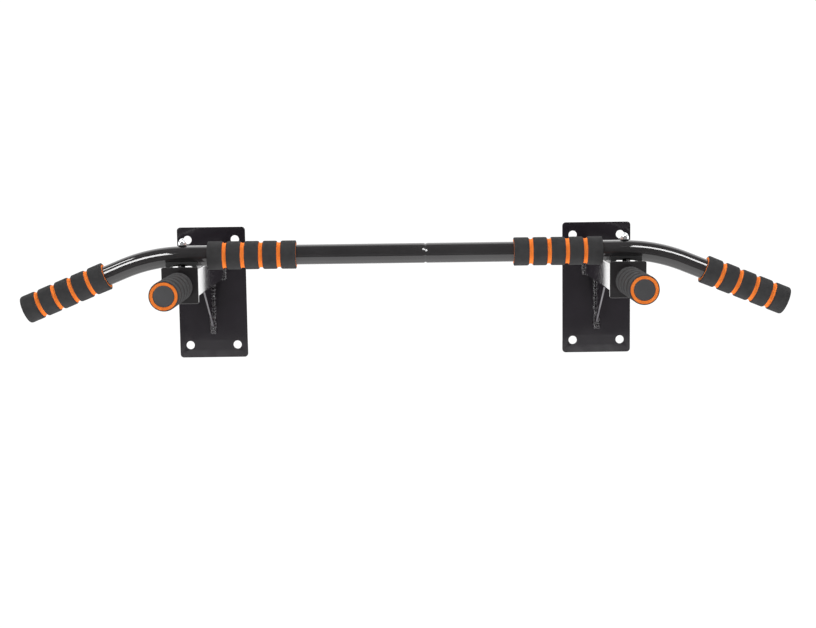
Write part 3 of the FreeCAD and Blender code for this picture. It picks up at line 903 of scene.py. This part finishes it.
def makeGrip(side, kind, place, radius):
    length, rim = gripLength, gripLooks["rim"]
    farRim = rim if kind == "bar" else gripLooks["coreRadius"]
    core = lathe(
        f"{kind}GripCore.{side}",
        coreProfile(radius, length, (rim, farRim)),
        place,
        gripLooks["steps"],
    )
    corePiece = addObject(f"{kind}GripCore.{side}", core, orangeFoam)
    standFor(corePiece, "orange_foam", f"{side}_{kind}_grip_core")
    bands = bmesh.new()
    stops = [0]
    for number in range(gripLooks["grooves"]):
        groove = gripLooks["first"] + number * gripLooks["pitch"]
        stops += [groove, groove + gripLooks["groove"]]
    stops.append(length)
    outer = size("right_bar_grip_skin").y / 2
    runs = {0: gripLooks["lip"], length: gripLooks["lip" if kind == "bar" else "tip"]}
    rims = {0: rim, length: farRim}
    for low, high in zip(stops[::2], stops[1::2]):
        bandRuns = [runs.get(stop, gripLooks["shoulder"]) for stop in (low, high)]
        bandRims = [rims.get(stop, gripLooks["coreRadius"]) for stop in (low, high)]
        profile = bandProfile(outer, low, high, bandRuns, bandRims)
        band = lathe("band", profile, place, gripLooks["steps"])
        bands.from_mesh(band)
        bpy.data.meshes.remove(band)
    skin = bpy.data.meshes.new(f"{kind}GripSkin.{side}")
    bands.to_mesh(skin)
    bands.free()
    waver(skin, place, gripLooks["waver"], gripLooks["waverScale"])
    smoothed(skin, 60)
    skinPiece = addObject(f"{kind}GripSkin.{side}", skin, charcoalFoam)
    standFor(skinPiece, "charcoal_foam", f"{side}_{kind}_grip_skin")


for side, sign in sides:
    barLow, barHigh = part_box(f"{side}_bar_grip_skin")
    nearEnd = barLow.x if sign > 0 else barHigh.x
    makeGrip(side, "bar", facing((sign, 0, 0), Vector((nearEnd, barAxis.y, barAxis.z))), barRadius)
    away = Vector((outward.x * sign, 0, outward.z))
    corner = Vector((bendCorner.x * sign, bendCorner.y, bendCorner.z))
    makeGrip(side, "end", facing(away, corner + away * (alongEnd(side) - gripLength / 2)), barRadius)
    gripLow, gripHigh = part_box(f"{side}_handle_grip_skin")
    root = Vector(((gripLow.x + gripHigh.x) / 2, gripHigh.y, (gripLow.z + gripHigh.z) / 2))
    makeGrip(side, "handle", facing(forward, root), barRadius)
print("foam grips made")


# clamp hardware

nutLooks = {
    "hexTop": 4.6 * mm,
    "dome": 4.8 * mm,
    "corner": 1.155,  # a corner's reach, as a multiple of the flats' distance
    "foot": 0.3 * mm,
    "footSlope": 1.2,
    "crownStart": 0.6,
    "crownCurve": 180,
    "steps": 96,
}


def makeCapNut(side):
    # A hexagon with rounded-off corners under a low dome, as one closed skin.
    low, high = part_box(f"{side}_cap_nut")
    centre = Vector(((low.x + high.x) / 2, (low.y + high.y) / 2, low.z))
    flat = (high.y - low.y) / 2
    height = high.z - low.z
    hexTop, dome = nutLooks["hexTop"], nutLooks["dome"]
    foot, corner = nutLooks["foot"], flat * nutLooks["corner"]
    steps = nutLooks["steps"]
    vertices, faces = [], []
    for z in (0, foot, hexTop * 0.5, hexTop * 0.75, hexTop * 0.9, hexTop):
        crown = corner - max(0.0, z - hexTop * nutLooks["crownStart"]) ** 2 * nutLooks["crownCurve"]
        limit = min(crown, corner - max(0.0, foot - z) * nutLooks["footSlope"])
        for step in range(steps):
            angle = 2 * math.pi * step / steps
            sector = (angle + math.pi / 6) % (math.pi / 3) - math.pi / 6
            radius = min(flat / math.cos(sector), limit)
            turn = angle + math.pi / 2
            vertices.append(centre + Vector((radius * math.cos(turn), radius * math.sin(turn), z)))
    domeCentre = height - dome
    startAngle = math.degrees(math.asin((hexTop - domeCentre) / dome))
    for radius, z in arcPoints((0, domeCentre), dome, startAngle, 90, 10):
        for step in range(steps):
            turn = 2 * math.pi * step / steps + math.pi / 2
            vertices.append(centre + Vector((radius * math.cos(turn), radius * math.sin(turn), z)))
    count = len(vertices) // steps
    for row in range(count - 1):
        for step in range(steps):
            ahead = (step + 1) % steps
            here, there = row * steps, (row + 1) * steps
            faces.append((here + step, here + ahead, there + ahead, there + step))
    faces.append(tuple(range(steps)))
    mesh = smoothed(cleaned(meshFrom(f"capNut.{side}", vertices, faces)), 28)
    standFor(addObject(f"capNut.{side}", mesh, brightZinc), "bright_zinc", f"{side}_cap_nut")


def refinish(node, material):
    # A CAD part keeps its own shape and gets a better finish.
    item = frame["nodes"][node]
    item.data.materials.clear()
    item.data.materials.append(material)


for side, sign in sides:
    makeCapNut(side)
    refinish(f"{side}_saddle", saddlePlastic)
    refinish(f"{side}_clamp_bolt", blackSteel)
    refinish(f"{side}_clamp_washers", blackSteel)
refinish("joint_spigot", bareSteel)
print("clamp hardware made")


# floor, studio light and camera

studioLooks = {
    "floorDrop": 2.0,
    "floorSize": 27.8,
    "shown": 1.06,
    "back": 2.2,
    "backEdge": (0.15, 0.5),
    "front": 0.25,
    "near": 2.05,
    "nearEdge": (-4.6, -3.6),
    "behind": 1.1,
    "behindEdge": (-0.4, 0.8),
    "far": 1.55,
    "farEdge": (-12.7, -12.2),
}


def fade(nodes, links, source, edge, start, stop):
    # Goes smoothly from start to stop as the source crosses the edge.
    node = nodes.new("ShaderNodeMapRange")
    node.interpolation_type = "SMOOTHSTEP"
    for socket, value in zip(("From Min", "From Max", "To Min", "To Max"), (*edge, start, stop)):
        node.inputs[socket].default_value = value
    links.new(source, node.inputs["Value"])
    return node.outputs["Result"]


def shownOr(nodes, links, lit, shown):
    # The eye sees an even white; everything else is lit by the studio's own pattern.
    path = nodes.new("ShaderNodeLightPath")
    choice = nodes.new("ShaderNodeMix")
    links.new(path.outputs["Is Camera Ray"], choice.inputs["Factor"])
    links.new(lit, choice.inputs["A"])
    choice.inputs["B"].default_value = shown
    return choice.outputs["Result"]


def makeFloor(looks):
    half = looks["floorSize"] / 2
    corners = [(-half, -half), (half, -half), (half, half), (-half, half)]
    mesh = bpy.data.meshes.new("floor")
    mesh.from_pydata([(x, y, -looks["floorDrop"]) for x, y in corners], [], [(0, 1, 2, 3)])
    material = bpy.data.materials.new("paleFloor")
    material.use_nodes = True
    nodes, links = material.node_tree.nodes, material.node_tree.links
    nodes.remove(nodes["Principled BSDF"])
    glow = nodes.new("ShaderNodeEmission")
    where = nodes.new("ShaderNodeTexCoord")
    split = nodes.new("ShaderNodeSeparateXYZ")
    links.new(where.outputs["Object"], split.inputs["Vector"])
    near = fade(nodes, links, split.outputs["Y"], looks["nearEdge"], 0, looks["near"] - looks["front"])
    far = fade(nodes, links, split.outputs["Y"], looks["farEdge"], looks["far"], looks["front"])
    change = looks["behind"] - looks["near"]
    behind = fade(nodes, links, split.outputs["Y"], looks["behindEdge"], 0, change)
    total = near
    for part in (far, behind):
        sumUp = nodes.new("ShaderNodeMath")
        links.new(total, sumUp.inputs[0])
        links.new(part, sumUp.inputs[1])
        total = sumUp.outputs["Value"]
    links.new(shownOr(nodes, links, total, looks["shown"]), glow.inputs["Strength"])
    links.new(glow.outputs["Emission"], nodes["Material Output"].inputs["Surface"])
    addObject("floor", mesh, material)


def makeWorld(looks):
    # A bright studio behind the object and a dimmer one in front of it.
    world = bpy.data.worlds.new("studio")
    scene.world = world
    world.use_nodes = True
    nodes, links = world.node_tree.nodes, world.node_tree.links
    where = nodes.new("ShaderNodeTexCoord")
    split = nodes.new("ShaderNodeSeparateXYZ")
    links.new(where.outputs["Generated"], split.inputs["Vector"])
    lit = fade(nodes, links, split.outputs["Y"], looks["backEdge"], looks["front"], looks["back"])
    links.new(shownOr(nodes, links, lit, looks["shown"]), nodes["Background"].inputs["Strength"])
    nodes["Background"].inputs["Color"].default_value = (1, 1, 1, 1)


stripLooks = {
    "left": {
        "low": ((-1.68, -1.62, 0.88), (-0.72, -1.78, 1.20)),
        "high": ((-1.88, -0.70, 1.72), (-1.36, -0.79, 1.88)),
    },
    "right": {"low": ((1.68, -1.52, 1.38), (0.72, -1.68, 1.72))},
    "width": {"low": 0.62, "high": 0.36},
    "glow": {"low": 21, "high": 18},
}
topLooks = {"place": (0, -1.1, 2.4), "wide": 3.0, "deep": 1.6, "glow": 4.2}


def addStrip(name, start, stop, width, glow):
    # A thin lamp from start to stop that faces the bar.
    start, stop = Vector(start), Vector(stop)
    lamp = bpy.data.lights.new(name, "AREA")
    lamp.shape = "RECTANGLE"
    along = stop - start
    lamp.size, lamp.size_y = along.length, width
    lamp.energy = glow * math.pi * along.length * width
    item = bpy.data.objects.new(name, lamp)
    item.visible_diffuse = False  # only the gloss sees the strips
    scene.collection.objects.link(item)
    centre = (start + stop) / 2
    side = along.normalized()
    back = (centre - Vector((math.copysign(bendCorner.x, centre.x), barAxis.y, barAxis.z))).normalized()
    back = (back - side * back.dot(side)).normalized()
    aim = Matrix((side, back.cross(side), back)).transposed().to_4x4()
    item.matrix_world = Matrix.Translation(centre) @ aim


def addTop(looks):
    # A wide soft lamp overhead that shades the matt foam and leaves no glint.
    lamp = bpy.data.lights.new("top", "AREA")
    lamp.shape = "RECTANGLE"
    lamp.size, lamp.size_y = looks["wide"], looks["deep"]
    lamp.energy = looks["glow"] * math.pi * looks["wide"] * looks["deep"]
    item = bpy.data.objects.new("top", lamp)
    item.visible_glossy = False
    scene.collection.objects.link(item)
    item.location = looks["place"]


makeFloor(studioLooks)
makeWorld(studioLooks)
addTop(topLooks)
for side, sign in sides:
    for level, ends in stripLooks[side].items():
        addStrip(f"{level}Strip.{side}", *ends, stripLooks["width"][level], stripLooks["glow"][level])

cameraLooks = {
    "place": Vector((2.45, -2340, 235.3)) * mm,
    "down": math.radians(6.69),
    "turn": math.radians(-0.065),
    "roll": math.radians(0.775),
    "lens": 65.14,
}


def makeCamera(looks):
    lens = bpy.data.cameras.new("camera")
    lens.sensor_width = 36
    lens.lens = looks["lens"]
    camera = bpy.data.objects.new("camera", lens)
    scene.collection.objects.link(camera)
    down, turn = looks["down"], looks["turn"]
    level = math.cos(down)
    ahead = Vector((-math.sin(turn) * level, math.cos(turn) * level, -math.sin(down)))
    across = ahead.cross(Vector((0, 0, 1))).normalized()
    above = across.cross(ahead)
    rolled = Matrix.Rotation(looks["roll"], 3, ahead)
    across, above = rolled @ across, rolled @ above
    aim = Matrix((across, above, -ahead)).transposed().to_4x4()
    camera.matrix_world = Matrix.Translation(looks["place"]) @ aim
    scene.camera = camera


makeCamera(cameraLooks)
print("stage set")
